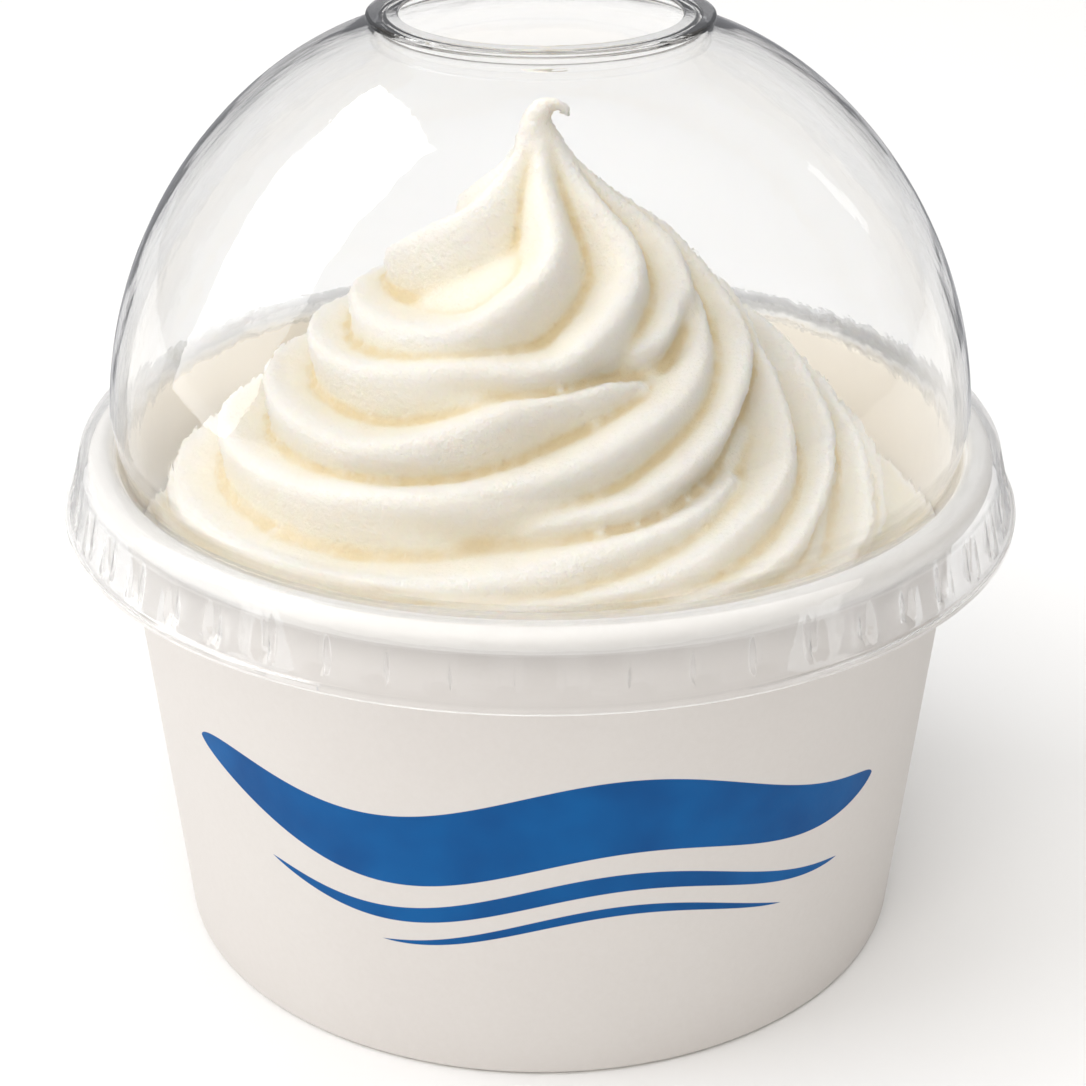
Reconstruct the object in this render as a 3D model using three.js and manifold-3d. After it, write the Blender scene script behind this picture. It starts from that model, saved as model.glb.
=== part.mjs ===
// Frozen yogurt cup: a paper tub, a piped swirl of frozen yogurt that fills it,
// and a clear domed lid with a spoon hole, pressed over the rolled rim.
// Millimetres, +Z up, the tub's axis on Z and its foot on Z = 0.
// The front of the tub faces -Y.

import * as THREE from 'three';
import { mergeVertices } from 'three/addons/utils/BufferGeometryUtils.js';
import Module from 'manifold-3d';

const wasm = await Module();
wasm.setup();
const { Manifold, Mesh: SolidMesh } = wasm;

// ---------------------------------------------------------------- sizes, mm
const SEG = 52;              // facets round every turned piece, one to each lid lug
const GAP = 0.3;             // clearance between pieces that touch

// paper tub
const BASE_R = 40.76;        // outer radius of the wall at the foot
const WALL_SLOPE = 0.0952;   // how far the wall leans out per mm of height
const PAPER = 0.5;           // thickness of the wall
const HEM = 1.4;             // thickness of the folded foot
const BASE_Z = 6.4;          // underside of the recessed bottom
const BASE_T = 0.6;          // thickness of the bottom
const BEAD_R = 1.6;          // radius of the rolled rim
const BEAD_Z = 54.5;         // height of the rolled rim's centre
const BEAD_C = BASE_R + WALL_SLOPE * BEAD_Z - PAPER + BEAD_R;  // its radius from the axis
const BEAD_STEPS = 7;        // facets round the roll

// clear lid
const SHEET = 0.5;           // thickness of the clear sheet
const SKIRT_R = 51.4;        // radius of the skirt at its lip
const SKIRT_Z = 48.66;       // lower edge of the skirt
const LIP_H = 0.85;          // height of the lip band
const SHOULDER_R = 49.5;     // radius of the shoulder over the roll
const SHOULDER_Z = 56.88;    // top of the shoulder
const GROOVE_Z = 55.3;       // bottom of the groove between shoulder and dome
const DOME_FOOT_R = 44.75;   // outer radius of the dome where it leaves the groove
const DOME_R = 46.0;         // widest outer radius of the dome
const DOME_WIDE_Z = 58.0;    // height of the widest place
const DOME_TOP_Z = 99.35;    // where the dome meets the neck of the collar
const DOME_TOP_R = 16.6;     // its radius there
const NECK_R = 16.25;        // outer radius of the short neck
const COLLAR_R = 17.7;       // outer radius of the flat ring round the hole
const COLLAR_TOP_Z = 101.0;  // top of the ring
const HOLE_R = 14.35;        // radius of the hole
const DOME_POWER = 1.3;      // fullness of the dome's curve
const DOME_STEPS = 6;        // facets from the widest place to the collar
const LUG_N = SEG;           // lugs round the skirt
const LUG_W = 1.5;           // width of a lug
const LUG_D = 0.6;           // how far a lug stands inward at its lower end
const LUG_TOP_D = 0.08;      // and at its upper end
const LUG_Z0 = 50.4;         // lower end of a lug
const LUG_Z1 = 54.0;         // upper end of a lug

// frozen yogurt
const FILL_Z = 44.0;         // level of the fill at the wall, under the swirl
const ROUND_STEPS = 52;      // places round the swirl
const DOWN_STEP = 2.45;      // mm between places down its slope
const CREST_SLOPE = 1.22;    // steepness of the flanks beside a crest
const CREST_ROUND = 0.75;    // rounding of a crest, mm
const VALLEY_ROUND = 0.3;    // rounding of a valley, mm
const DEEPEST = 4.4;         // greatest depth between crests, mm
const CREASE_W = 0.87;       // width of a crease, mm
// The swirl is a cone of crests that wind down clockwise from the tip. "Round" is
// counted in degrees from the right by way of the front, left and back; "down" is
// the distance from the tip along the slope, in mm.
// The slope itself: radius and height.
const SLOPE_LINE = [
  [0.6, 91.9], [2.9, 88], [4.6, 84.6], [8, 81.8], [11.2, 79.6], [13.8, 77.5], [16.3, 75],
  [20, 71], [24.5, 67], [29.7, 61.6], [34.8, 56.2], [40.2, 51.3], [43.5, 47], [43.8, 45],
];
// On the right the lowest turn falls short of the wall.
const RIGHT_LINE = [[34.8, 56.2], [38.3, 50.6], [39.3, 44.6], [39.5, 42.6]];
const RIGHT_AT = -10;        // middle of that part, degrees round
const RIGHT_REACH = 58;      // how far round it goes on both sides
// Each crest winds through a few guides: round, down, height over the slope.
const CRESTS = [
  [[152, 1.6, 0], [150, 13.2, 0.2], [182, 23, 0.2], [205, 25.6, 0], [240, 27.5, 0], [358, 30.5, 0], [373, 33.4, 0], [392, 43.4, 0.1], [401, 46.4, 0.1], [423, 50.7, 0], [480, 57.5, -0.4], [540, 60.5, -0.6]],
  [[90, 1.6, 0], [87, 7.2, 0], [82, 10.8, 0], [81, 16.5, 0.2], [92, 20.7, 0.3], [121, 27.2, 0.2], [180, 28.8, 0.1], [240, 32, 0], [358, 40, 0], [375, 45.6, 0], [404, 52.2, -0.1], [450, 58, -0.6], [490, 60.5, -0.8]],
  [[33, 1.6, 0], [31, 10, 0], [37, 17.2, 0.2], [47, 21.1, 0.3], [83, 29.8, 0.4], [118, 30.8, 0], [143, 33.4, 0.1], [240, 38.5, 0], [358, 46.6, 0], [380, 54.6, 0], [396, 58.4, -0.6]],
  [[3, 1.6, 0], [1, 11.1, 0], [6, 18.3, 0.2], [28, 24.8, 0.4], [54, 28.8, -0.4]],
  [[62, 30.6, -1.4], [93, 33.6, 0], [120, 39.8, 0.3], [131, 41.2, 0.2], [178, 41.9, 0.3], [300, 49.5, 0], [358, 53.6, 0], [385, 58.5, -0.6]],
  [[16, 25, -1], [56, 35.3, 0.2], [107, 43.9, 0.1], [180, 49.6, 0.3], [352, 60, -0.6]],
  [[-14, 1.6, 0], [-12, 18.5, 0.1], [6, 29, 0.4], [72, 44.6, -0.1], [84, 45.4, -1], [100, 46.2, -3]],
  [[50, 43.6, -1.4], [70, 47.7, 0], [111, 53.4, 0.2], [260, 61, -0.6]],
  [[208, 1.6, 0], [208, 12, 0], [222, 17, 0], [300, 23.5, 0], [356, 26.4, -1]],
  [[258, 1.6, 0], [258, 10, 0], [270, 15, 0], [300, 18.6, 0], [348, 21.6, -1]],
  [[306, 1.6, 0], [306, 8, 0], [334, 15.5, -1]],
];
// Creases where one turn lies on the next: round, down, depth.
const CREASES = [
  [[30, 25, 0.3], [48, 29.7, 1.8], [73, 29.9, 2], [84, 31.3, 2], [120, 32.4, 0]],
  [[4, 29.5, 0], [16, 34.4, 0.6], [38, 38.8, 2.2], [71, 46, 1.8], [124, 47.4, 0]],
  [[18, 47.4, 0.2], [42, 53.6, 2], [74, 57.8, 1.4]],
  [[86, 37, 0], [118, 42.3, 1.2], [144, 44.2, 0]],
];
const SWIRL_FOOT_Z = 41.4;   // where the swirl's skin ends, inside the fill
const STEM_X = -0.5;         // sideways place of the tip's stem
const STEM_Z = 87.4;         // its foot
const CURL_X = 1.05;         // centre of the curl
const CURL_Z = 90.0;
const CURL_R = 1.5;          // radius of the curl's centre line
const CURL_END = -0.12;      // where the curl ends, radians over the right
const STEM_R = 2.3;          // thickness of the stem at its foot
const CURL_R0 = 1.35;        // where the curl starts
const CURL_R1 = 0.5;         // and at its end

// ------------------------------------------------------------------ helpers
const wallOuter = (z) => BASE_R + WALL_SLOPE * z;
const wallInner = (z) => wallOuter(z) - PAPER;

// A closed geometry as a solid with its faces pointing out.
function solidOf(geometry) {
  for (const name of ['normal', 'uv']) if (geometry.getAttribute(name)) geometry.deleteAttribute(name);
  const merged = mergeVertices(geometry, 1e-4);
  const verts = merged.getAttribute('position').array;
  const index = merged.getIndex().array;
  const tris = [];
  for (let i = 0; i < index.length; i += 3) {
    const [a, b, c] = [index[i], index[i + 1], index[i + 2]];
    if (a !== b && b !== c && a !== c) tris.push(a, b, c);
  }
  let volume = 0;
  const at = (i) => new THREE.Vector3(verts[3 * i], verts[3 * i + 1], verts[3 * i + 2]);
  for (let i = 0; i < tris.length; i += 3) {
    volume += at(tris[i]).dot(at(tris[i + 1]).cross(at(tris[i + 2])));
  }
  if (volume < 0) {
    for (let i = 0; i < tris.length; i += 3) [tris[i], tris[i + 1]] = [tris[i + 1], tris[i]];
  }
  return new Manifold(new SolidMesh({
    numProp: 3,
    vertProperties: new Float32Array(verts),
    triVerts: new Uint32Array(tris),
  }));
}

// An outline in (radius, height) turned about Z. It starts and ends on the
// axis, or else it is closed on itself.
function turned(outline) {
  const points = outline.map(([r, z]) => new THREE.Vector2(r, z));
  if (outline[0][0] > 0) points.push(points[0].clone());
  return solidOf(new THREE.LatheGeometry(points, SEG).rotateX(Math.PI / 2));
}

// A skin over a row of rings of points, closed by a fan at both ends.
function skin(rings) {
  const n = rings[0].length;
  const verts = [];
  for (const ring of rings) for (const p of ring) verts.push(p.x, p.y, p.z);
  const tris = [];
  for (let i = 0; i + 1 < rings.length; i++) {
    for (let j = 0; j < n; j++) {
      const a = i * n + j, b = i * n + (j + 1) % n, c = a + n, d = b + n;
      tris.push(a, b, d, a, d, c);
    }
  }
  const cap = (ring, start, flip) => {
    const mid = ring.reduce((s, p) => s.add(p), new THREE.Vector3()).divideScalar(n);
    const k = verts.length / 3;
    verts.push(mid.x, mid.y, mid.z);
    for (let j = 0; j < n; j++) {
      const a = start + j, b = start + (j + 1) % n;
      if (flip) tris.push(k, b, a); else tris.push(k, a, b);
    }
  };
  cap(rings[0], 0, true);
  cap(rings[rings.length - 1], (rings.length - 1) * n, false);
  const g = new THREE.BufferGeometry();
  g.setAttribute('position', new THREE.Float32BufferAttribute(verts, 3));
  g.setIndex(tris);
  return solidOf(g);
}

function geometryOf(solid) {
  const m = solid.getMesh();
  const g = new THREE.BufferGeometry();
  const pos = new Float32Array(m.numVert * 3);
  for (let i = 0; i < m.numVert; i++) {
    for (let k = 0; k < 3; k++) pos[3 * i + k] = m.vertProperties[i * m.numProp + k];
  }
  g.setAttribute('position', new THREE.BufferAttribute(pos, 3));
  g.setIndex(new THREE.BufferAttribute(new Uint32Array(m.triVerts), 1));
  g.computeVertexNormals();
  return g;
}

// ---------------------------------------------------------------- paper tub
// Wall, rolled rim, folded foot and recessed bottom are one turned solid.
function cupSolid() {
  const outline = [
    [0, BASE_Z],
    [wallOuter(BASE_Z) - HEM, BASE_Z],
    [BASE_R - HEM, 0.3],
    [BASE_R - HEM + 0.3, 0],
    [BASE_R - 0.35, 0],
    [wallOuter(0.4), 0.4],
    [wallOuter(BEAD_Z - BEAD_R), BEAD_Z - BEAD_R],
  ];
  // the roll starts under the rim, goes out, over the top and into the inner face
  const start = -Math.PI * 0.62, end = Math.PI;
  for (let i = 0; i <= BEAD_STEPS; i++) {
    const a = start + (end - start) * i / BEAD_STEPS;
    outline.push([BEAD_C + BEAD_R * Math.cos(a), BEAD_Z + BEAD_R * Math.sin(a)]);
  }
  outline.push([wallInner(BASE_Z + BASE_T + 0.8), BASE_Z + BASE_T + 0.8]);
  outline.push([wallInner(BASE_Z + BASE_T) - 0.8, BASE_Z + BASE_T]);
  outline.push([0, BASE_Z + BASE_T]);
  return turned(outline);
}

// ------------------------------------------------------------------ the lid
function domeOuter(t) {   // t from 0 at the widest place to 1 at the collar
  const u = t * Math.PI / 2;
  return [
    DOME_TOP_R + (DOME_R - DOME_TOP_R) * Math.cos(u) ** DOME_POWER,
    DOME_WIDE_Z + (DOME_TOP_Z - DOME_WIDE_Z) * Math.sin(u),
  ];
}

function lidSolid() {
  // faces that look outward and upward, from the lip to the hole
  const outer = [
    [SKIRT_R, SKIRT_Z],
    [SKIRT_R + 0.1, SKIRT_Z + LIP_H],
    [SKIRT_R - 0.45, SKIRT_Z + LIP_H + 0.15],
    [SHOULDER_R + 0.28, SHOULDER_Z - 2.4],
    [SHOULDER_R - 0.1, SHOULDER_Z - 0.9],
    [SHOULDER_R - 1.3, SHOULDER_Z],
    [BEAD_C - 0.7, SHOULDER_Z],
    [DOME_FOOT_R + 0.35, GROOVE_Z],
    [DOME_FOOT_R, GROOVE_Z],
  ];
  const dome = [];
  for (let i = 0; i <= DOME_STEPS; i++) dome.push(domeOuter(i / DOME_STEPS));
  outer.push(...dome);
  outer.push([NECK_R, DOME_TOP_Z + 0.3]);
  outer.push([NECK_R, COLLAR_TOP_Z - SHEET - 0.05]);
  outer.push([COLLAR_R - 0.15, COLLAR_TOP_Z - SHEET - 0.05]);
  outer.push([COLLAR_R, COLLAR_TOP_Z - 0.2]);
  outer.push([COLLAR_R - 0.25, COLLAR_TOP_Z]);
  outer.push([HOLE_R, COLLAR_TOP_Z]);
  // faces that look inward and downward, back from the hole to the lip
  const inner = [
    [HOLE_R, COLLAR_TOP_Z - SHEET],
    [NECK_R - SHEET, COLLAR_TOP_Z - SHEET],
    [NECK_R - SHEET, DOME_TOP_Z - 0.2],
  ];
  for (let i = DOME_STEPS; i >= 0; i--) {
    const [r, z] = domeOuter(i / DOME_STEPS);
    const a = domeOuter(Math.max(0, i / DOME_STEPS - 0.02));
    const b = domeOuter(Math.min(1, i / DOME_STEPS + 0.02));
    const dr = b[0] - a[0], dz = b[1] - a[1], l = Math.hypot(dr, dz);
    inner.push([r - SHEET * dz / l, z + SHEET * dr / l]);
  }
  inner.push([DOME_FOOT_R - SHEET, GROOVE_Z - 0.1]);
  inner.push([DOME_FOOT_R - 0.35, GROOVE_Z - 0.7]);
  inner.push([DOME_FOOT_R + 0.3, GROOVE_Z - 0.6]);
  // under the shoulder the sheet keeps clear of the roll, which it follows round
  for (const deg of [136, 90, 44]) {
    const a = deg * Math.PI / 180, r = BEAD_R + GAP + 0.06;
    inner.push([BEAD_C + r * Math.cos(a), BEAD_Z + r * Math.sin(a)]);
  }
  inner.push([SHOULDER_R - SHEET + 0.06, SHOULDER_Z - 1.5]);
  inner.push([SHOULDER_R - SHEET + 0.28, SHOULDER_Z - 2.4]);
  inner.push([SKIRT_R - 0.45 - SHEET, SKIRT_Z + LIP_H + 0.1]);
  inner.push([SKIRT_R - SHEET, SKIRT_Z]);
  let lid = turned([...outer, ...inner]);

  // the skirt's lugs stand inward, deepest at their lower end
  const insideR = (z) => {
    const z0 = SKIRT_Z + LIP_H + 0.1, z1 = SHOULDER_Z - 2.4;
    const r0 = SKIRT_R - 0.45 - SHEET, r1 = SHOULDER_R - SHEET + 0.28;
    return r0 + (r1 - r0) * (z - z0) / (z1 - z0);
  };
  const lugs = [];
  const facet = Math.cos(Math.PI / SEG);
  for (let i = 0; i < LUG_N; i++) {
    const a = (i + 0.5) / LUG_N * 2 * Math.PI;
    const out = new THREE.Vector3(Math.cos(a), Math.sin(a), 0);
    const side = new THREE.Vector3(-Math.sin(a), Math.cos(a), 0);
    const at = (r, s, z) => out.clone().multiplyScalar(r).addScaledVector(side, s).setZ(z);
    const rung = (z, depth, width) => {
      const r = insideR(z) * facet;
      return [at(r + 0.2, -width / 2, z), at(r + 0.2, width / 2, z), at(r - depth, 0, z)];
    };
    lugs.push(skin([rung(LUG_Z0, LUG_D, LUG_W), rung(LUG_Z1, LUG_TOP_D, LUG_W * 0.9)]));
  }
  lid = Manifold.union([lid, ...lugs]);
  return lid.simplify(0.03);
}

// --------------------------------------------------------- frozen yogurt
function readOff(xs, ys, x) {    // straight between neighbours, held at the ends
  if (x <= xs[0]) return ys[0];
  for (let i = 1; i < xs.length; i++) {
    if (x <= xs[i]) return ys[i - 1] + (ys[i] - ys[i - 1]) * (x - xs[i - 1]) / (xs[i] - xs[i - 1]);
  }
  return ys[ys.length - 1];
}

function runs(points) {          // distance along a row of points
  const out = [0];
  for (let i = 1; i < points.length; i++) {
    out.push(out[i - 1] + Math.hypot(...points[i].map((v, k) => v - points[i - 1][k])));
  }
  return out;
}

const RUN = runs(SLOPE_LINE);
const LENGTH = RUN[RUN.length - 1];

// radius and height of the bare slope
function onSlope(deg, down) {
  const r = readOff(RUN, SLOPE_LINE.map((p) => p[0]), down);
  const z = readOff(RUN, SLOPE_LINE.map((p) => p[1]), down);
  const tail = RUN.slice(-RIGHT_LINE.length);
  if (down <= tail[0]) return [r, z];
  const off = Math.abs((((deg - RIGHT_AT + 180) % 360) + 360) % 360 - 180);
  let w = Math.min(1, Math.max(0, (RIGHT_REACH - off) / 22));
  w = w * w * (3 - 2 * w);
  return [
    r + (readOff(tail, RIGHT_LINE.map((p) => p[0]), down) - r) * w,
    z + (readOff(tail, RIGHT_LINE.map((p) => p[1]), down) - z) * w,
  ];
}

function place(deg, down) {
  const [r, z] = onSlope(deg, down);
  const a = deg * Math.PI / 180;
  return [r * Math.cos(a), -r * Math.sin(a), z];
}

// a guide line drawn smoothly through its rows: places on the slope with their heights
function guideLine(rows) {
  const d = runs(rows.map(([deg, down]) => place(deg, down)));
  const n = Math.max(6, Math.round(d[d.length - 1] / 1.0));
  let k = [];
  for (let i = 0; i <= n; i++) {
    const t = d[d.length - 1] * i / n;
    k.push([0, 1, 2].map((c) => readOff(d, rows.map((q) => q[c]), t)));
  }
  for (let pass = 0; pass < 5; pass++) {
    k = k.map((q, i) => (i === 0 || i === n ? q : q.map((v, c) => 0.25 * k[i - 1][c] + 0.5 * v + 0.25 * k[i + 1][c])));
  }
  return k.map(([deg, down, h]) => [...place(deg, down), h]);
}

const crestLines = CRESTS.map(guideLine);
const creaseLines = CREASES.map(guideLine);

// how far the surface stands over the bare slope
function lift(p, down) {
  let sum = Math.exp(-DEEPEST / VALLEY_ROUND);
  for (const line of crestLines) {
    let best = -Infinity;
    for (const q of line) {
      const d2 = (p[0] - q[0]) ** 2 + (p[1] - q[1]) ** 2 + (p[2] - q[2]) ** 2;
      best = Math.max(best, q[3] - CREST_SLOPE * (Math.sqrt(d2 + CREST_ROUND ** 2) - CREST_ROUND));
    }
    sum += Math.exp(best / VALLEY_ROUND);
  }
  let up = VALLEY_ROUND * Math.log(sum);
  for (const line of creaseLines) {
    let best = 0;
    for (const q of line) {
      const d2 = (p[0] - q[0]) ** 2 + (p[1] - q[1]) ** 2 + (p[2] - q[2]) ** 2;
      best = Math.max(best, q[3] * Math.exp(-d2 / CREASE_W ** 2));
    }
    up -= best;
  }
  return up * Math.min(1, Math.max(0, (LENGTH - down) / 2));
}

// The swirl's skin: the slope, raised and sunk along its own normal.
function swirlSolid() {
  const rings = [];
  const rows = Math.round((LENGTH - 1.6) / DOWN_STEP);
  for (let i = 0; i <= rows; i++) {
    const down = 1.6 + (LENGTH - 1.6) * i / rows;
    const ring = [];
    for (let j = 0; j < ROUND_STEPS; j++) {
      const deg = j * 360 / ROUND_STEPS;
      const [r, z] = onSlope(deg, down);
      const [ra, za] = onSlope(deg, Math.max(0, down - 1.2));
      const [rb, zb] = onSlope(deg, Math.min(LENGTH, down + 1.2));
      const l = Math.hypot(rb - ra, zb - za);
      const up = lift(place(deg, down), down);
      const reach = Math.max(0.25, r - (zb - za) / l * up);
      const a = deg * Math.PI / 180;
      ring.push(new THREE.Vector3(reach * Math.cos(a), -reach * Math.sin(a), z + (rb - ra) / l * up));
    }
    rings.push(ring);
  }
  rings.push(rings[rings.length - 1].map((p) => p.clone().setZ(SWIRL_FOOT_Z)));
  return skin(rings);
}

// The tip bends over to the right in a small curl.
function tipSolid() {
  const rings = [];
  const ring = (x, z, lean, radius) => {
    const out = [];
    for (let j = 0; j < 8; j++) {
      const a = j * Math.PI / 4;
      out.push(new THREE.Vector3(x + radius * Math.cos(a) * Math.cos(lean), radius * Math.sin(a), z - radius * Math.cos(a) * Math.sin(lean)));
    }
    rings.push(out);
  };
  ring(STEM_X, STEM_Z, 0, STEM_R);
  ring(STEM_X, (STEM_Z + CURL_Z) / 2, 0, (STEM_R + CURL_R0) / 2 - 0.1);
  const m = 6;
  for (let i = 0; i <= m; i++) {
    const a = Math.PI + (CURL_END - Math.PI) * i / m;
    ring(CURL_X + CURL_R * Math.cos(a), CURL_Z + CURL_R * Math.sin(a), Math.PI - a, CURL_R0 + (CURL_R1 - CURL_R0) * (i / m) ** 0.6);
  }
  return skin(rings);
}

function yogurtSolid() {
  // the fill under the swirl
  const floorZ = BASE_Z + BASE_T + GAP;
  const fill = turned([
    [0, floorZ], [wallInner(floorZ) - 1.6, floorZ], [wallInner(floorZ + 1.1) - GAP - 0.05, floorZ + 1.1],
    [wallInner(FILL_Z) - GAP, FILL_Z], [0, FILL_Z + 0.5],
  ]);
  const pieces = [fill, swirlSolid(), tipSolid()];
  const all = Manifold.union(pieces);
  // trimmed where it meets the paper wall
  const room = turned([
    [0, floorZ - 1], [wallInner(floorZ - 1) - GAP, floorZ - 1],
    [wallInner(52) - GAP, 52], [wallInner(52) - GAP - 0.4, 54], [wallInner(52) - GAP - 2, 100], [0, 100],
  ]);
  // one closed skin
  const shells = Manifold.intersection(all, room).simplify(0.16).decompose();
  return shells.reduce((a, b) => (b.volume() > a.volume() ? b : a));
}

// -------------------------------------------------------------- the object
const paper = new THREE.MeshStandardMaterial({ name: 'paper', color: 0xf3efea, roughness: 0.6, metalness: 0 });
const yogurtStuff = new THREE.MeshStandardMaterial({ name: 'yogurt', color: 0xfaf3e2, roughness: 0.5, metalness: 0 });
const clear = new THREE.MeshStandardMaterial({
  name: 'clear_plastic', color: 0xf2f4f7, roughness: 0.06, metalness: 0, transparent: true, opacity: 0.25,
});

const group = new THREE.Group();
group.name = 'frozen_yogurt_cup';
for (const [name, solid, material] of [
  ['cup', cupSolid(), paper],
  ['yogurt', yogurtSolid(), yogurtStuff],
  ['dome_lid', lidSolid(), clear],
]) {
  const mesh = new THREE.Mesh(geometryOf(solid), material);
  mesh.name = name;
  group.add(mesh);
}

export default group;
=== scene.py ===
import math

import bmesh
import bpy
import numpy as np
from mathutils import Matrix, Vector, noise


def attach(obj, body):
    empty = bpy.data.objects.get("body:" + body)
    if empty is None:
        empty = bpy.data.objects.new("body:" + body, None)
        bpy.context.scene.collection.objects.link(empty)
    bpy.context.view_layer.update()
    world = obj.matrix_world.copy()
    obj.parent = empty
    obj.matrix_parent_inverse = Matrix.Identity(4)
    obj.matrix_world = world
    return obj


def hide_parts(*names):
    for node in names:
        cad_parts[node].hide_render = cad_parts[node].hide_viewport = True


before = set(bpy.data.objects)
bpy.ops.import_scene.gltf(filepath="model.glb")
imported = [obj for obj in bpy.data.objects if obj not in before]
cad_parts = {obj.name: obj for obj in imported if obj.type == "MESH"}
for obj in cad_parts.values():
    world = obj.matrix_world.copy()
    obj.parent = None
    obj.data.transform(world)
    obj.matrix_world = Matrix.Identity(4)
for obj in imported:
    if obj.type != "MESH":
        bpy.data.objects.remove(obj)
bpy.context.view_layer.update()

MM = 0.001
scene = bpy.context.scene

# ------------------------------------------------------------------ sizes, mm
BASE_R, SLOPE, PAPER = 40.76, 0.0952, 0.5
BEAD_R, BEAD_Z = 1.6, 54.5
BEAD_C = BASE_R + SLOPE * BEAD_Z - PAPER + BEAD_R
RIBS = 52


def wall_out(z):
    return BASE_R + SLOPE * z


def wall_in(z):
    return wall_out(z) - PAPER


# ---------------------------------------------------------------- mesh helpers
def link(name, me, smooth=True):
    ob = bpy.data.objects.new(name, me)
    scene.collection.objects.link(ob)
    if smooth:
        me.polygons.foreach_set("use_smooth", [True] * len(me.polygons))
    me.update()
    return ob


def fillet(points, steps=5):
    """points: (r, z, radius). Returns an outline with each corner rounded."""
    out = []
    n = len(points)
    for i, (r, z, rad) in enumerate(points):
        p = np.array((r, z), float)
        if rad <= 0:
            out.append(tuple(p))
            continue
        a = np.array(points[(i - 1) % n][:2], float) - p
        b = np.array(points[(i + 1) % n][:2], float) - p
        la, lb = np.linalg.norm(a), np.linalg.norm(b)
        a, b = a / la, b / lb
        half = math.acos(max(-1, min(1, float(a @ b)))) / 2
        if half > math.pi / 2 - 0.02:
            out.append(tuple(p))
            continue
        cut = min(rad / math.tan(half), la * 0.48, lb * 0.48)
        rad = cut * math.tan(half)
        mid = (a + b) / np.linalg.norm(a + b)
        c = p + mid * (rad / math.sin(half))
        s, e = p + a * cut - c, p + b * cut - c
        t0, t1 = math.atan2(s[1], s[0]), math.atan2(e[1], e[0])
        d = (t1 - t0 + math.pi) % (2 * math.pi) - math.pi
        k = max(2, int(steps * abs(d) / (math.pi / 2) + 1.5))
        for j in range(k + 1):
            t = t0 + d * j / k
            out.append((c[0] + rad * math.cos(t), c[1] + rad * math.sin(t)))
    return out


def lathe(outline, segs, closed, warp=None, ang=None):
    """Turns an outline about Z. closed: the outline is a loop; otherwise its ends lie on the axis."""
    prof = np.array(outline, float)
    if ang is None:
        ang = np.arange(segs) * 2 * math.pi / segs
    rr = np.repeat(prof[:, 0][:, None], segs, 1)
    zz = np.repeat(prof[:, 1][:, None], segs, 1)
    if warp is not None:
        rr, zz = warp(rr, zz, np.repeat(ang[None], len(prof), 0))
    co = np.stack([rr * np.cos(ang), rr * np.sin(ang), zz], -1) * MM
    m = len(prof)
    verts = co.reshape(-1, 3).tolist()
    faces = []
    span = m if closed else m - 1
    first, last = 0, m - 1
    if not closed:
        verts = [tuple(co[0].mean(0))] + co[1:-1].reshape(-1, 3).tolist() + [tuple(co[-1].mean(0))]
        k = m - 2

        def vid(i, j):
            if i == 0:
                return 0
            if i == m - 1:
                return 1 + k * segs
            return 1 + (i - 1) * segs + j % segs
        for j in range(segs):
            faces.append((vid(0, j), vid(1, j + 1), vid(1, j)))
            for i in range(1, m - 2):
                faces.append((vid(i, j), vid(i, j + 1), vid(i + 1, j + 1), vid(i + 1, j)))
            faces.append((vid(m - 2, j), vid(m - 2, j + 1), vid(m - 1, j)))
    else:
        for i in range(span):
            for j in range(segs):
                a, b = i * segs + j, i * segs + (j + 1) % segs
                c, d = ((i + 1) % m) * segs + j, ((i + 1) % m) * segs + (j + 1) % segs
                faces.append((a, b, d, c))
    me = bpy.data.meshes.new("m")
    me.from_pydata(verts, [], faces)
    me.update()
    outward(me)
    return me


def outward(me):
    bm = bmesh.new()
    bm.from_mesh(me)
    bmesh.ops.recalc_face_normals(bm, faces=bm.faces)
    if bm.calc_volume(signed=True) < 0:
        bmesh.ops.reverse_faces(bm, faces=bm.faces)
    bm.to_mesh(me)
    bm.free()


def grid_mesh(rings, name):
    """A closed skin over rings of points (mm), with a fan at each end."""
    m, n, _ = rings.shape
    v = np.vstack([rings.reshape(-1, 3), rings[0].mean(0)[None], rings[-1].mean(0)[None]]) * MM
    f = []
    for i in range(m - 1):
        for j in range(n):
            a, b = i * n + j, i * n + (j + 1) % n
            f.append((a, b, b + n, a + n))
    k = m * n
    for j in range(n):
        f.append((k, (j + 1) % n, j))
        f.append((k + 1, (m - 1) * n + j, (m - 1) * n + (j + 1) % n))
    me = bpy.data.meshes.new(name)
    me.from_pydata(v.tolist(), [], f)
    me.update()
    return me


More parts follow.
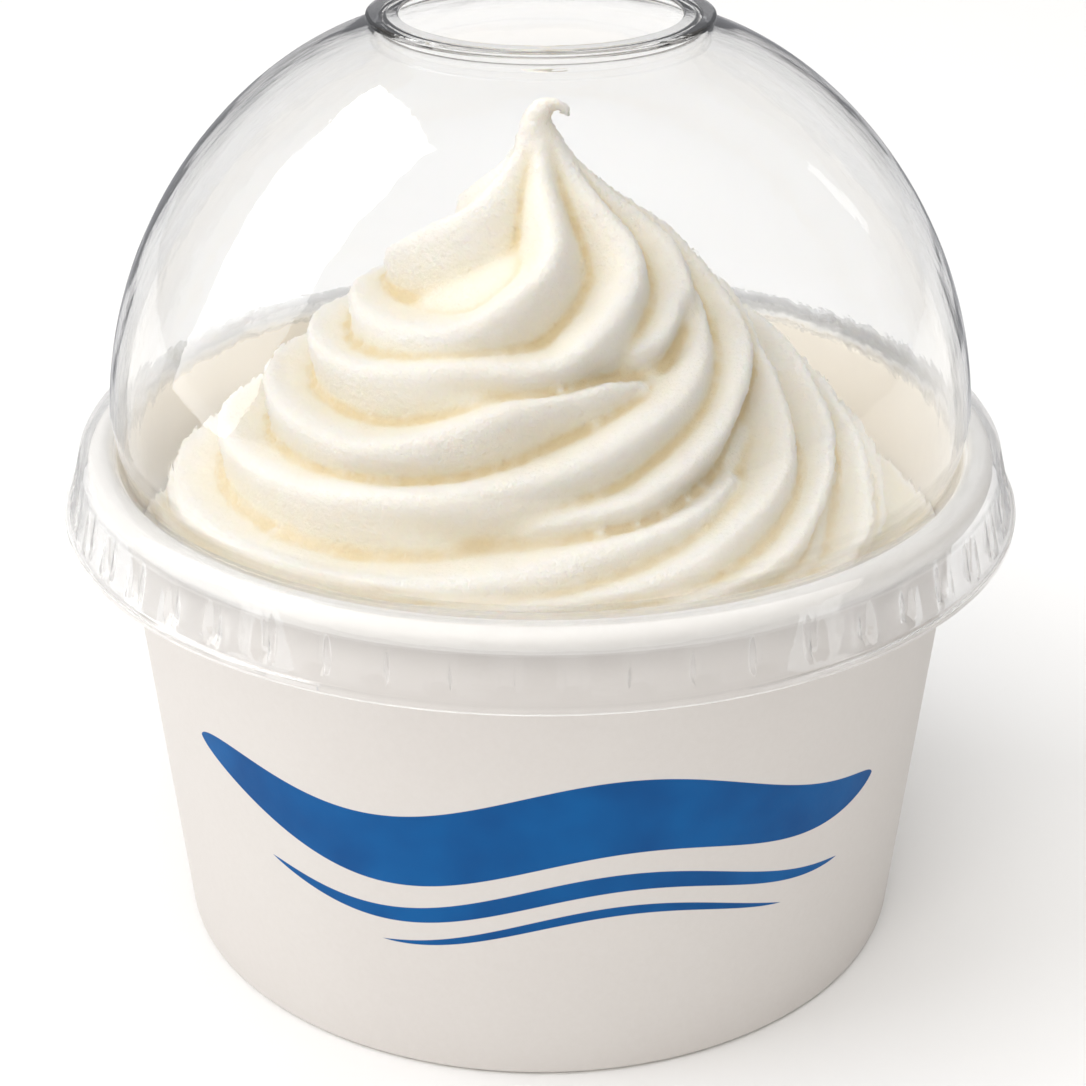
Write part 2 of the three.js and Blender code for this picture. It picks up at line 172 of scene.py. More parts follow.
# -------------------------------------------------------------- node helpers
class Shader:
    def __init__(self, name):
        self.mat = bpy.data.materials.new(name)
        self.mat.use_nodes = True
        self.t = self.mat.node_tree
        self.p = self.t.nodes["Principled BSDF"]
        self.out = self.t.nodes["Material Output"]

    def node(self, kind, **inputs):
        n = self.t.nodes.new(kind)
        for k, v in inputs.items():
            if k.startswith("_"):
                setattr(n, k[1:], v)
        return n

    def math(self, op, a, b=None, c=None, clamp=False):
        n = self.t.nodes.new("ShaderNodeMath")
        n.operation = op
        n.use_clamp = clamp
        for i, v in enumerate((a, b, c)):
            if v is None:
                continue
            if isinstance(v, (int, float)):
                n.inputs[i].default_value = v
            else:
                self.t.links.new(v, n.inputs[i])
        return n.outputs[0]

    def link(self, a, b):
        self.t.links.new(a, b)

    def coords(self, scale=1000.0):
        tc = self.t.nodes.new("ShaderNodeTexCoord")
        mp = self.t.nodes.new("ShaderNodeMapping")
        mp.inputs["Scale"].default_value = (scale,) * 3
        self.link(tc.outputs["Object"], mp.inputs["Vector"])
        return mp.outputs["Vector"]

    def noise(self, vec, scale, detail=3.0, rough=0.55, distort=0.0):
        n = self.t.nodes.new("ShaderNodeTexNoise")
        n.inputs["Scale"].default_value = scale
        n.inputs["Detail"].default_value = detail
        n.inputs["Roughness"].default_value = rough
        n.inputs["Distortion"].default_value = distort
        self.link(vec, n.inputs["Vector"])
        return n.outputs["Fac"]

    def ramp(self, fac, stops):
        n = self.t.nodes.new("ShaderNodeValToRGB")
        cr = n.color_ramp
        while len(cr.elements) < len(stops):
            cr.elements.new(0.5)
        for e, (pos, col) in zip(cr.elements, stops):
            e.position = pos
            e.color = col if len(col) == 4 else (*col, 1)
        self.link(fac, n.inputs["Fac"])
        return n.outputs["Color"]

    def mix(self, fac, a, b):
        n = self.t.nodes.new("ShaderNodeMix")
        n.data_type = "RGBA"
        for sock, v in ((n.inputs[0], fac), (n.inputs[6], a), (n.inputs[7], b)):
            if isinstance(v, (int, float)):
                sock.default_value = v
            elif isinstance(v, tuple):
                sock.default_value = v if len(v) == 4 else (*v, 1)
            else:
                self.link(v, sock)
        return n.outputs[2]

    def bump(self, height, distance, strength=1.0, normal=None):
        n = self.t.nodes.new("ShaderNodeBump")
        n.inputs["Strength"].default_value = strength
        n.inputs["Distance"].default_value = distance
        self.link(height, n.inputs["Height"])
        if normal is not None:
            self.link(normal, n.inputs["Normal"])
        return n.outputs["Normal"]


# ================================================================= the yogurt
# The swirl is a cone of crests that wind down clockwise from the tip. The slope runs from the tip to the tub's
# wall; "down" is the distance along it, "round" goes from the right by way of the front, left and back.
SLOPE_LINE = np.array([(0.2, 91.6), (0.9, 89.9), (2.3, 87.8), (4.6, 84.6), (8.0, 81.8), (11.2, 79.6), (13.8, 77.5), (16.3, 75.0), (20.0, 71.0),
                       (24.5, 67.0), (29.7, 61.6), (34.8, 56.2), (40.2, 51.3), (43.8, 47.0), (44.3, 45.0)])
# on the right the lowest turn falls short of the wall
RIGHT_LINE = np.array([(34.8, 56.2), (38.3, 50.6), (39.3, 44.6), (39.5, 42.6)])
# crests: degrees round, mm down, how far the crest stands over the slope
CRESTS = [
    [(152, 1.6, 0), (151, 9.0, 0), (150, 13.2, .2), (163, 16.5, .3), (173, 20.1, .3), (182, 23.0, .2), (205, 25.6, 0), (240, 27.5, 0), (300, 29.0, 0),
     (358, 30.5, 0), (373, 33.4, 0), (384, 39.3, 0), (392, 43.4, .1), (401, 46.4, .1), (409, 48.0, 0), (423, 50.7, 0), (437, 52.9, 0), (450, 54.6, -.2),
     (480, 57.5, -.4), (540, 60.5, -.6)],
    [(90, 1.6, 0), (87, 7.2, 0), (82, 10.8, 0), (80, 14.1, .1), (81, 16.5, .2), (84, 18.1, .3), (92, 20.7, .3), (101, 22.9, .3), (109, 25.2, .3), (121, 27.2, .2),
     (142, 28.3, 0), (180, 28.8, .1), (240, 32.0, 0), (300, 36.0, 0), (358, 40.0, 0), (365, 42.9, 0), (375, 45.6, 0), (389, 49.1, 0), (404, 52.2, -.1),
     (425, 55.4, -.3), (450, 58.0, -.6), (490, 60.5, -.8)],
    [(33, 1.6, 0), (31, 7.2, 0), (31, 10.0, 0), (33, 12.2, 0), (34, 14.8, .1), (37, 17.2, .2), (42, 19.3, .3), (47, 21.1, .3), (56, 23.2, .3), (66, 25.6, .4),
     (75, 27.6, .5), (83, 29.8, .4), (94, 30.3, .2), (107, 30.2, .1), (118, 30.8, 0), (129, 31.9, 0), (143, 33.4, .1), (157, 34.2, .2), (178, 34.8, .3),
     (240, 38.5, 0), (300, 42.5, 0), (358, 46.6, 0), (368, 49.8, .1), (374, 52.5, .1), (380, 54.6, 0), (387, 56.4, -.2), (396, 58.4, -.6)],
    [(3, 1.6, 0), (1, 11.1, 0), (2, 15.6, .1), (6, 18.3, .2), (12, 20.7, .3), (19, 22.9, .3), (28, 24.8, .4), (38, 26.4, .4), (48, 28.0, .2), (54, 28.8, -.4)],
    [(62, 30.6, -1.4), (74, 31.6, -.6), (84, 32.4, -.2), (93, 33.6, 0), (101, 35.4, .2), (111, 37.8, .3), (120, 39.8, .3), (131, 41.2, .2), (150, 41.4, .2),
     (178, 41.9, .3), (240, 45.5, 0), (300, 49.5, 0), (358, 53.6, 0), (385, 58.5, -.6)],
    [(16, 25.0, -1.0), (26, 27.4, -.3), (37, 30.4, 0), (47, 33.1, .2), (56, 35.3, .2), (66, 37.0, .2), (75, 38.9, .2), (84, 40.6, .2), (91, 41.9, .2),
     (99, 43.0, .2), (107, 43.9, .1), (118, 45.0, .1), (137, 46.9, .1), (156, 48.0, .2), (180, 49.6, .3), (240, 53.0, 0), (300, 56.5, -.2), (352, 60.0, -.6)],
    [(-14, 1.6, 0), (-14, 14.0, 0), (-12, 18.5, .1), (-6, 22.5, .2), (0, 26.1, .3), (6, 29.0, .4), (14, 31.3, .4), (24, 33.3, .5), (34, 35.5, .5), (43, 37.9, .5),
     (50, 39.7, .5), (57, 41.3, .4), (65, 43.2, .2), (72, 44.6, -.3), (84, 45.4, -1.0), (92, 45.9, -2.0), (100, 46.2, -3.0)],
    [(50, 43.6, -1.4), (60, 46.0, -.4), (70, 47.7, 0), (80, 49.2, .1), (87, 50.4, .2), (99, 52.0, .2), (111, 53.4, .2), (124, 54.4, .2), (143, 55.0, .2),
     (162, 55.8, .2), (181, 57.0, .2), (215, 59.0, -.2), (260, 61.0, -.6)],
    [(208, 1.6, 0), (208, 12.0, 0), (222, 17.0, 0), (255, 20.5, 0), (300, 23.5, 0), (340, 25.6, -.3), (356, 26.4, -1.0)],
    [(258, 1.6, 0), (258, 10.0, 0), (270, 15.0, 0), (300, 18.6, 0), (330, 20.6, -.3), (348, 21.6, -1.0)],
    [(306, 1.6, 0), (306, 8.0, 0), (316, 12.0, -.2), (334, 15.5, -1.0)],
]
# creases where one turn lies on the next: degrees round, mm down, depth
CREASES = [
    [(30, 25.0, .3), (38, 27.6, 1.2), (48, 29.7, 1.8), (60, 30.0, 2.0), (73, 29.9, 2.0), (84, 31.3, 2.0), (95, 31.7, 1.6), (107, 31.6, .9), (120, 32.4, 0)],
    [(4, 29.5, 0), (16, 34.4, .6), (26, 36.4, 1.6), (38, 38.8, 2.2), (50, 41.9, 2.2), (60, 44.2, 2.0), (71, 46.0, 1.8), (84, 46.4, 1.6), (97, 46.6, 1.2), (112, 46.8, .4), (124, 47.4, 0)],
    [(18, 47.4, .2), (30, 51.0, 1.4), (42, 53.6, 2.0), (53, 55.2, 2.2), (62, 56.6, 2.0), (74, 57.8, 1.4)],
    [(86, 37.0, 0), (98, 39.6, .4), (109, 41.2, 1.0), (118, 42.3, 1.2), (130, 43.3, .8), (144, 44.2, 0)],
]
CREST_SLOPE, CREST_ROUND, VALLEY_ROUND = 1.38, 1.25, 0.17
RUN = np.r_[0, np.cumsum(np.hypot(*np.diff(SLOPE_LINE, axis=0).T))]


def on_slope(deg, down):
    """(distance from the axis, height) of the slope, with its lower right part drawn in."""
    r, z = np.interp(down, RUN, SLOPE_LINE[:, 0]), np.interp(down, RUN, SLOPE_LINE[:, 1])
    rr, rz = np.interp(down, RUN[-4:], RIGHT_LINE[:, 0]), np.interp(down, RUN[-4:], RIGHT_LINE[:, 1])
    w = np.clip((58 - np.abs((deg + 10 + 180) % 360 - 180)) / 22, 0, 1)
    w = w * w * (3 - 2 * w) * (down > RUN[-4])
    return r + (rr - r) * w, z + (rz - z) * w


def place(deg, down):
    r, z = on_slope(deg, down)
    a = np.radians(deg)
    return np.stack([r * np.cos(a), -r * np.sin(a), z], -1)


def guide(rows, step=0.6):
    """A guide line drawn smoothly through its rows, in steps of about 0.6 mm. Returns places and heights."""
    k = np.array(rows, float)
    d = np.r_[0, np.cumsum(np.linalg.norm(np.diff(place(k[:, 0], k[:, 1]), axis=0), axis=1))]
    t = np.linspace(0, d[-1], max(6, int(d[-1] / step)))
    k = np.stack([np.interp(t, d, k[:, i]) for i in range(3)], -1)
    for _ in range(12):
        k[1:-1] = 0.25 * k[:-2] + 0.5 * k[1:-1] + 0.25 * k[2:]
    # on the left the turns stand out like steps
    left = np.exp(-(((k[:, 0] - 182) / 27) ** 2)) * np.clip((k[:, 1] - 17) / 4, 0, 1)
    return place(k[:, 0], k[:, 1]), k[:, 2], left


def cone_rings(n=400, step=0.5):
    deg = np.arange(n) * 360.0 / n
    down = np.arange(1.6, RUN[-1] + 0.1, step)
    dd, aa = np.meshgrid(down, deg, indexing="ij")
    r, z = on_slope(aa, dd)
    for _ in range(3):
        r[1:-1] = 0.25 * r[:-2] + 0.5 * r[1:-1] + 0.25 * r[2:]
        z[1:-1] = 0.25 * z[:-2] + 0.5 * z[1:-1] + 0.25 * z[2:]
    rad = np.radians(aa)
    flat = np.stack([r * np.cos(rad), -r * np.sin(rad), z], -1).reshape(-1, 3).astype(np.float32)
    total = np.zeros(len(flat), np.float32)
    for rows in CRESTS:
        q, h, left = guide(rows)
        best = np.full(len(flat), -1e3, np.float32)
        for p, hp, w in zip(q.astype(np.float32), h, left):
            d2 = ((flat - p) ** 2).sum(1)
            near = d2 < 196
            full = CREST_ROUND - 0.35 * w
            v = hp + 0.25 * w - (CREST_SLOPE + 0.35 * w) * (np.sqrt(d2[near] + full ** 2) - full)
            best[near] = np.maximum(best[near], v)
        total += np.exp(best / VALLEY_ROUND, where=best > -20, out=np.zeros_like(best))
    lift = VALLEY_ROUND * np.log(total + math.exp(-4.4 / VALLEY_ROUND))
    for rows in CREASES:
        q, h, _ = guide(rows, 0.2)
        best = np.zeros(len(flat), np.float32)
        for p, hp in zip(q.astype(np.float32), h):
            d2 = ((flat - p) ** 2).sum(1)
            near = d2 < 9
            best[near] = np.maximum(best[near], hp * np.exp(-d2[near] / 0.8))
        lift -= 1.2 * best
    lift = lift.reshape(r.shape) * np.clip((RUN[-1] - dd) / 2.0, 0, 1)
    gr, gz = np.gradient(r, axis=0), np.gradient(z, axis=0)
    g = np.hypot(gr, gz)
    r = np.maximum(r - gz / g * lift, 0.25)
    z = z + gr / g * lift
    rings = np.stack([r * np.cos(rad), -r * np.sin(rad), z], -1)
    foot = rings[-1].copy()
    foot[:, 2] = 41.4
    return np.concatenate([rings, foot[None]])


def tip_rings():
    """The curl the nozzle leaves: centre line (x, z) and thickness."""
    key = np.array([(-.5, 87.0, 2.3), (-.6, 88.8, 1.75), (-.5, 90.0, 1.45), (.05, 91.05, 1.1), (1.0, 91.55, .82), (1.9, 91.45, .72), (2.6, 90.9, .64),
                    (2.85, 90.2, .55), (2.75, 89.75, .42)])
    t = np.linspace(0, len(key) - 1, 40)
    k = np.stack([np.interp(t, range(len(key)), key[:, i]) for i in range(3)], -1)
    for _ in range(6):
        k[1:-1] = 0.25 * k[:-2] + 0.5 * k[1:-1] + 0.25 * k[2:]
    d = np.gradient(k[:, :2], axis=0)
    d /= np.linalg.norm(d, axis=1)[:, None]
    a = np.linspace(0, 2 * np.pi, 24, endpoint=False)
    out = []
    for (x, z, r), (dx, dz) in zip(k, d):
        u, w = np.array([0, -1.0, 0]), np.array([-dz, 0, dx])
        out.append(np.array([x, 0, z]) + u * (r * np.cos(a))[:, None] + w * (r * np.sin(a))[:, None])
    return np.array(out)


def neighbours_mean(co, edges, count):
    s = np.zeros_like(co)
    np.add.at(s, edges[:, 0], co[edges[:, 1]])
    np.add.at(s, edges[:, 1], co[edges[:, 0]])
    return s / count[:, None]


def make_yogurt():
    bm = bmesh.new()
    for rings, name in ((cone_rings(), "cone"), (tip_rings(), "tip")):
        bm.from_mesh(grid_mesh(rings, name))
    bm.from_mesh(lathe([(0, 41.5), (43.9, 41.5), (44.25, 44.6), (41, 44.2), (37, 44.0), (0, 50)], 160, False))
    bmesh.ops.recalc_face_normals(bm, faces=bm.faces)
    me = bpy.data.meshes.new("yogurt_rough")
    bm.to_mesh(me)
    bm.free()
    ob = link("yogurt_swirl", me)
    md = ob.modifiers.new("remesh", "REMESH")
    md.mode = "VOXEL"
    md.voxel_size = 0.00050
    dg = bpy.context.evaluated_depsgraph_get()
    me = bpy.data.meshes.new_from_object(ob.evaluated_get(dg))
    ob.modifiers.clear()
    ob.data = me
    # only the outer shell is kept
    bm = bmesh.new()
    bm.from_mesh(me)
    cut = bmesh.ops.bisect_plane(bm, geom=bm.verts[:] + bm.edges[:] + bm.faces[:], plane_co=(0, 0, 0.0432),
                                 plane_no=(0, 0, 1), clear_inner=True)
    bm.verts.ensure_lookup_table()
    seen, best = set(), []
    for v in bm.verts:
        if v.index in seen:
            continue
        stack, part = [v], []
        seen.add(v.index)
        while stack:
            q = stack.pop()
            part.append(q)
            for e in q.link_edges:
                o = e.other_vert(q)
                if o.index not in seen:
                    seen.add(o.index)
                    stack.append(o)
        if len(part) > len(best):
            best = part
    keep = set(best)
    print("shell", len(best), "of", len(bm.verts))
    bmesh.ops.delete(bm, geom=[v for v in bm.verts if v not in keep], context="VERTS")
    rim = [e for e in bm.edges if e.is_boundary]
    bmesh.ops.holes_fill(bm, edges=rim, sides=0)
    bmesh.ops.recalc_face_normals(bm, faces=bm.faces)
    bm.to_mesh(me)
    bm.free()
    me.update()
    nv = len(me.vertices)
    co = np.empty(nv * 3)
    me.vertices.foreach_get("co", co)
    co = co.reshape(-1, 3)
    edges = np.empty(len(me.edges) * 2, np.int64)
    me.edges.foreach_get("vertices", edges)
    edges = edges.reshape(-1, 2)
    count = np.bincount(edges.ravel(), minlength=nv).astype(float)
    floor = co[:, 2] < 0.0434
    for _ in range(3):
        new = co + 0.5 * (neighbours_mean(co, edges, count) - co)
        new[floor] = co[floor]
        co = new
    # how hollow the surface is, read off a much smoother copy
    soft = co.copy()
    for _ in range(13):
        new = soft + 0.6 * (neighbours_mean(soft, edges, count) - soft)
        new[floor] = soft[floor]
        soft = new
    me.vertices.foreach_set("co", co.ravel())
    me.update()
    no = np.empty(nv * 3)
    me.vertex_normals.foreach_get("vector", no)
    no = no.reshape(-1, 3)
    hollow = ((soft - co) * no).sum(1) * 1000.0
    # fine relief: a slightly icy, uneven skin
    mmco = co * 1000.0
    h = np.empty(nv)
    for i in range(nv):
        p = Vector(mmco[i])
        h[i] = (0.14 * noise.noise(p * 0.12) + 0.055 * noise.noise(p * 0.55) + 0.050 * noise.noise(p * 1.1 + Vector((7, 3, 1)))
                + (0.034 + min(max(-hollow[i] * 0.25, 0), 0.03)) * noise.noise(p * 2.2 + Vector((1, 9, 4))))
    top = np.clip((mmco[:, 2] - 45) / 3, 0, 1)
    co = co + no * (h * top * MM)[:, None]
    # the swirl ends against the tub's wall
    rr = np.hypot(co[:, 0], co[:, 1])
    lim = (wall_in(co[:, 2] * 1000) - 0.03) * MM
    k = rr > lim
    co[k, :2] *= (lim[k] / rr[k])[:, None]
    me.vertices.foreach_set("co", co.ravel())
    at = me.attributes.new("hollow", "FLOAT", "POINT")
    at.data.foreach_set("value", hollow.astype(np.float32))
    me.polygons.foreach_set("use_smooth", [True] * len(me.polygons))
    me.update()
    print("yogurt", nv, "verts", sum(len(p.vertices) - 2 for p in me.polygons), "tris, hollow",
          [round(float(x), 3) for x in np.percentile(hollow, (1, 10, 50, 90, 99))])
    return ob


yogurt = make_yogurt()

# the fill in the tub, under the swirl
fill = link("yogurt_fill", lathe(fillet([
    (0, 7.25, 0), (wall_in(7.3) - 1.6, 7.25, 0), (wall_in(8.4) - 0.05, 8.4, 0.6), (wall_in(43.1) - 0.05, 43.1, 0), (0, 43.1, 0),
]), 160, False))

s = Shader("frozen_yogurt")
v = s.coords()
grain = s.noise(v, 1.7, 4.0, 0.6)
patch = s.noise(v, 0.10, 3.0, 0.5)
at = s.t.nodes.new("ShaderNodeAttribute")
at.attribute_name = "hollow"
# painted shade: the cream is painted darker and more golden the hollower the surface is, standing in for the shade
# and warm bounce in the creases
crease_shade = s.math("MULTIPLY_ADD", at.outputs["Fac"], 2.6, 0.30, clamp=True)
cream_with_painted_shade = s.ramp(crease_shade, [(0.0, (0.930, 0.895, 0.835)), (0.30, (0.922, 0.870, 0.758)), (0.58, (0.903, 0.842, 0.700)), (1.0, (0.81, 0.67, 0.41))])
tint = s.ramp(patch, [(0.35, (0.985, 0.975, 0.955)), (0.65, (1, 1, 1))])
mul = s.t.nodes.new("ShaderNodeMix")
mul.data_type = "RGBA"
mul.blend_type = "MULTIPLY"
mul.inputs[0].default_value = 1.0
s.link(cream_with_painted_shade, mul.inputs[6])
s.link(tint, mul.inputs[7])
s.link(mul.outputs[2], s.p.inputs["Base Color"])
s.p.inputs["Roughness"].default_value = 0.42
s.p.inputs["IOR"].default_value = 1.38
s.p.inputs["Subsurface Weight"].default_value = 0.45
s.p.inputs["Subsurface Radius"].default_value = (1.0, 0.75, 0.42)
s.p.inputs["Subsurface Scale"].default_value = 0.0013
fine = s.noise(v, 5.5, 3.0, 0.65)
n1 = s.bump(grain, 0.00028, 0.9)
n2 = s.bump(fine, 0.00006, 0.8, n1)
s.link(n2, s.p.inputs["Normal"])
for ob in (yogurt, fill):
    ob.data.materials.append(s.mat)
    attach(ob, "root")
    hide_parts("yogurt")

# ==================================================================== the tub
SEGS = 260
BASE_Z, BASE_T, HEM = 6.4, 0.6, 1.4
bead = []
start, end = -math.pi * 0.62, math.pi
for i in range(25):
    a = start + (end - start) * i / 24
    bead.append((BEAD_C + BEAD_R * math.cos(a), BEAD_Z + BEAD_R * math.sin(a), 0))
cup_outline = fillet([
    (0, BASE_Z, 0), (20, BASE_Z, 0), (wall_out(BASE_Z) - HEM - 1.0, BASE_Z, 0), (wall_out(BASE_Z) - HEM, BASE_Z, 0.5),
    (BASE_R - HEM + 0.35, 3.2, 0), (BASE_R - HEM, 0, 0.3),
    (BASE_R - 1.20, 0, 0.05), (BASE_R - 1.18, 0.5, 0.03), (BASE_R - 1.12, 0.5, 0.03), (BASE_R - 1.10, 0, 0.05), (BASE_R, 0, 0.53),
    (wall_out(6), 6, 0), (wall_out(14), 14, 0), (wall_out(22), 22, 0), (wall_out(30), 30, 0), (wall_out(38), 38, 0), (wall_out(46), 46, 0),
    (wall_out(BEAD_Z - BEAD_R + 0.1), BEAD_Z - BEAD_R + 0.1, 0.3),
    *bead,
    (wall_in(50), 50, 0), (wall_in(46), 46, 0), (wall_in(38), 38, 0), (wall_in(24), 24, 0), (wall_in(BASE_Z + BASE_T), BASE_Z + BASE_T, 0.8),
    (20, BASE_Z + BASE_T, 0), (0, BASE_Z + BASE_T, 0),
], 4)
SEAM = math.radians(97)      # the side seam, at the back


def seam_warp(rr, zz, ang):
    # the wall's outer edge laps over the other by one sheet, fading round the tub
    d = (ang - SEAM + math.pi) % (2 * math.pi) - math.pi
    lap = np.where((d > 0) & (d < 0.16), 0.22 * np.clip((0.16 - d) / 0.05, 0, 1), 0)
    outer = (rr > wall_out(zz) - 0.05) & (zz > 0.2)
    return rr + lap * outer, zz


cup = link("paper_tub", lathe(cup_outline, SEGS, False, seam_warp))
s = Shader("coated_paper")
v = s.coords()
soft = s.noise(v, 0.05, 2.0, 0.5)
fibre = s.noise(v, 1.4, 5.0, 0.65, 0.4)
speck = s.noise(v, 4.5, 2.0, 0.5)
paper = s.ramp(soft, [(0.3, (0.930, 0.915, 0.895)), (0.7, (0.945, 0.935, 0.915))])
shade = s.ramp(fibre, [(0.3, (0.975, 0.972, 0.968)), (0.7, (1, 1, 1))])
mul = s.t.nodes.new("ShaderNodeMix")
mul.data_type = "RGBA"
mul.blend_type = "MULTIPLY"
mul.inputs[0].default_value = 1.0
s.link(paper, mul.inputs[6])
s.link(shade, mul.inputs[7])
paper = mul.outputs[2]
# the print: a plain wavy stroke with two thinner ones under it, at the front and again at the back
sep = s.t.nodes.new("ShaderNodeSeparateXYZ")
s.link(v, sep.inputs[0])
x, y, z = sep.outputs
angle = s.math("ARCTAN2", y, x)
radius = s.math("SQRT", s.math("ADD", s.math("MULTIPLY", x, x), s.math("MULTIPLY", y, y)))
# azimuth from the front of the tub, the same again at the back
fold = s.math("SUBTRACT", s.math("FRACT", s.math("MULTIPLY_ADD", angle, 1 / math.pi, 1.0)), 0.5)
fold = s.math("MULTIPLY", fold, math.pi)
wave = s.math("SINE", s.math("MULTIPLY_ADD", fold, 5.2, 0.5))


def between(lo, hi, soft_mm=0.06):
    a = s.math("MULTIPLY", s.math("SUBTRACT", z, lo), 1 / soft_mm, clamp=True)
    b = s.math("MULTIPLY", s.math("SUBTRACT", hi, z), 1 / soft_mm, clamp=True)
    return s.math("MULTIPLY", a, b)


def stroke(height, sway, thick, reach, shift):
    """A wavy stroke that tapers off at both ends."""
    u = s.math("MULTIPLY", s.math("SUBTRACT", fold, shift), 1 / reach)
    body = s.math("SQRT", s.math("MAXIMUM", s.math("SUBTRACT", 1.0, s.math("MULTIPLY", u, u)), 0.0))
    half = s.math("MULTIPLY_ADD", body, thick, -0.15)
    mid = s.math("MULTIPLY_ADD", wave, sway, height)
    return between(s.math("SUBTRACT", mid, half), s.math("ADD", mid, half))


ink = stroke(30.0, 2.6, 4.7, 0.92, 0.0)
ink = s.math("MAXIMUM", ink, stroke(22.0, 2.6, 1.25, 0.76, 0.06))
ink = s.math("MAXIMUM", ink, stroke(18.5, 2.6, 0.75, 0.52, 0.12))
# only on the outside of the wall
outside = s.math("MULTIPLY", s.math("SUBTRACT", radius, s.math("MULTIPLY_ADD", z, SLOPE, BASE_R - 0.25)), 20.0, clamp=True)
ink = s.math("MULTIPLY", ink, outside)
# painted shade: the sheet's outer face below the rolled rim is painted greyer than the rim and the inner face
outer_shade_mask = s.math("MULTIPLY", outside, s.math("MULTIPLY", s.math("SUBTRACT", BEAD_Z - 1.2, z), 2.0, clamp=True))
outer_painted_shade = s.t.nodes.new("ShaderNodeMix")
outer_painted_shade.data_type = "RGBA"
outer_painted_shade.blend_type = "MULTIPLY"
s.link(outer_shade_mask, outer_painted_shade.inputs[0])
s.link(paper, outer_painted_shade.inputs[6])
outer_painted_shade.inputs[7].default_value = (0.745, 0.725, 0.715, 1)
paper = outer_painted_shade.outputs[2]
# painted light: the inner face is painted a bright cream, standing in for the warm light that falls on the inner wall
inside = s.math("MULTIPLY", s.math("SUBTRACT", s.math("MULTIPLY_ADD", z, SLOPE, BASE_R - PAPER + 0.25), radius), 5.0, clamp=True)
paper = s.mix(inside, paper, (0.985, 0.940, 0.865))
blue = s.ramp(s.noise(v, 0.12, 2.0), [(0.3, (0.0, 0.068, 0.245)), (0.7, (0.0, 0.100, 0.325))])
s.link(s.mix(ink, paper, blue), s.p.inputs["Base Color"])
rough = s.math("MULTIPLY_ADD", fibre, 0.12, 0.50)
s.link(rough, s.p.inputs["Roughness"])
s.p.inputs["IOR"].default_value = 1.45
s.p.inputs["Specular IOR Level"].default_value = 0.20
n1 = s.bump(fibre, 0.00003, 0.5)
n2 = s.bump(speck, 0.00001, 0.4, n1)
s.link(n2, s.p.inputs["Normal"])
cup.data.materials.append(s.mat)
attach(cup, "root")
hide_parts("cup")

# ==================================================================== the lid
DOME_R, DOME_WIDE_Z = 46.0, 58.0
T = 0.34                     # the clear sheet's thickness in the rim
T_DOME = 0.55                # and in the dome


def dome(t):
    u = t * math.pi / 2
    return (16.6 + (DOME_R - 16.6) * math.cos(u) ** 1.3, DOME_WIDE_Z + (99.35 - DOME_WIDE_Z) * math.sin(u))


def dome_pair(t):
    r, z = dome(t)
    a, b = dome(max(0, t - 0.01)), dome(min(1, t + 0.01))
    dr, dz = b[0] - a[0], b[1] - a[1]
    length = math.hypot(dr, dz)
    th = T + (T_DOME - T) * min(1, t / 0.05, (1 - t) / 0.12)
    return (r, z), (r - th * dz / length, z + th * dr / length)


outer = [
    (51.40, 48.68, 0.12), (51.50, 49.50, 0.15), (50.98, 49.70, 0.2), (49.85, 54.2, 1.0), (49.50, 55.75, 0.9), (48.75, 56.88, 0.9),
    (46.30, 56.88, 0.7), (45.20, 55.28, 0.35), (44.72, 55.28, 0.35), (45.35, 56.7, 1.0),
]
STEPS = 40
pairs = [dome_pair((i / STEPS) ** 0.9) for i in range(1, STEPS + 1)]
outer += [(r, z, 0) for (r, z), _ in pairs]
outer += [(16.25, 99.62, 0.15), (16.25, 100.42, 0.12), (17.55, 100.42, 0.06), (17.72, 100.56, 0.08), (17.66, 100.92, 0.12), (17.3, 101.0, 0.15), (14.5, 101.0, 0.15),
          (14.33, 100.78, 0.1), (14.45, 100.56, 0.1), (15.7, 100.54, 0.12), (15.80, 99.5, 0.15)]
inner = [(r, z, 0) for _, (r, z) in reversed(pairs[:-1])]
inner += [
    (45.35 - T * 0.95, 56.75, 1.0), (44.72 - T * 0.98, 55.10, 0.4), (44.9, 54.86, 0.3), (45.42, 54.86, 0.4), (46.48, 56.46, 0.6), (48.55, 56.46, 0.7),
    (49.10, 55.6, 0.8), (49.44, 54.1, 1.0), (50.60, 49.35, 0.2), (51.00, 49.2, 0.1), (51.02, 48.68, 0.1),
]
lid_outline = fillet(outer + inner, 4)
# eight places round for each lug, crowded at the lug's two edges
PITCH = 2 * math.pi / RIBS
LUG_D = np.array([-1.70, -0.98, -0.70, -0.26, 0.26, 0.70, 0.98, 1.70])      # mm from the lug's middle
LID_ANG = (np.arange(RIBS)[:, None] * PITCH + PITCH / 2 + LUG_D[None] / 50.3).ravel()
LID_SEGS = RIBS * 8


def rib_warp(rr, zz, ang):
    """Upright lugs pressed inward in the flaring skirt: deepest at their lower end."""
    d = ((ang / PITCH) % 1 - 0.5) * PITCH * 50.3      # mm from a lug's middle
    h = np.clip((zz - 50.45) / (54.1 - 50.45), 0, 1)
    up = np.clip((zz - 50.2) / 0.3, 0, 1) * np.clip((54.4 - zz) / 0.4, 0, 1)
    depth = (0.54 - 0.49 * h) * up
    across = np.clip((0.98 - np.abs(d)) / 0.28, 0, 1)
    zone = (rr > 48.6) & (zz < 54.6)
    return rr - depth * across * zone, zz


# extra rings where the lugs are
def refine(outline, z0, z1, rmin, step):
    out = []
    n = len(outline)
    for i in range(n):
        a, b = outline[i], outline[(i + 1) % n]
        out.append(a)
        if min(a[0], b[0]) > rmin and max(a[1], b[1]) <= z1 + 0.5 and min(a[1], b[1]) >= z0 - 1.5:
            k = int(math.hypot(b[0] - a[0], b[1] - a[1]) / step)
            for j in range(1, k):
                f = j / k
                out.append((a[0] + (b[0] - a[0]) * f, a[1] + (b[1] - a[1]) * f))
    return out


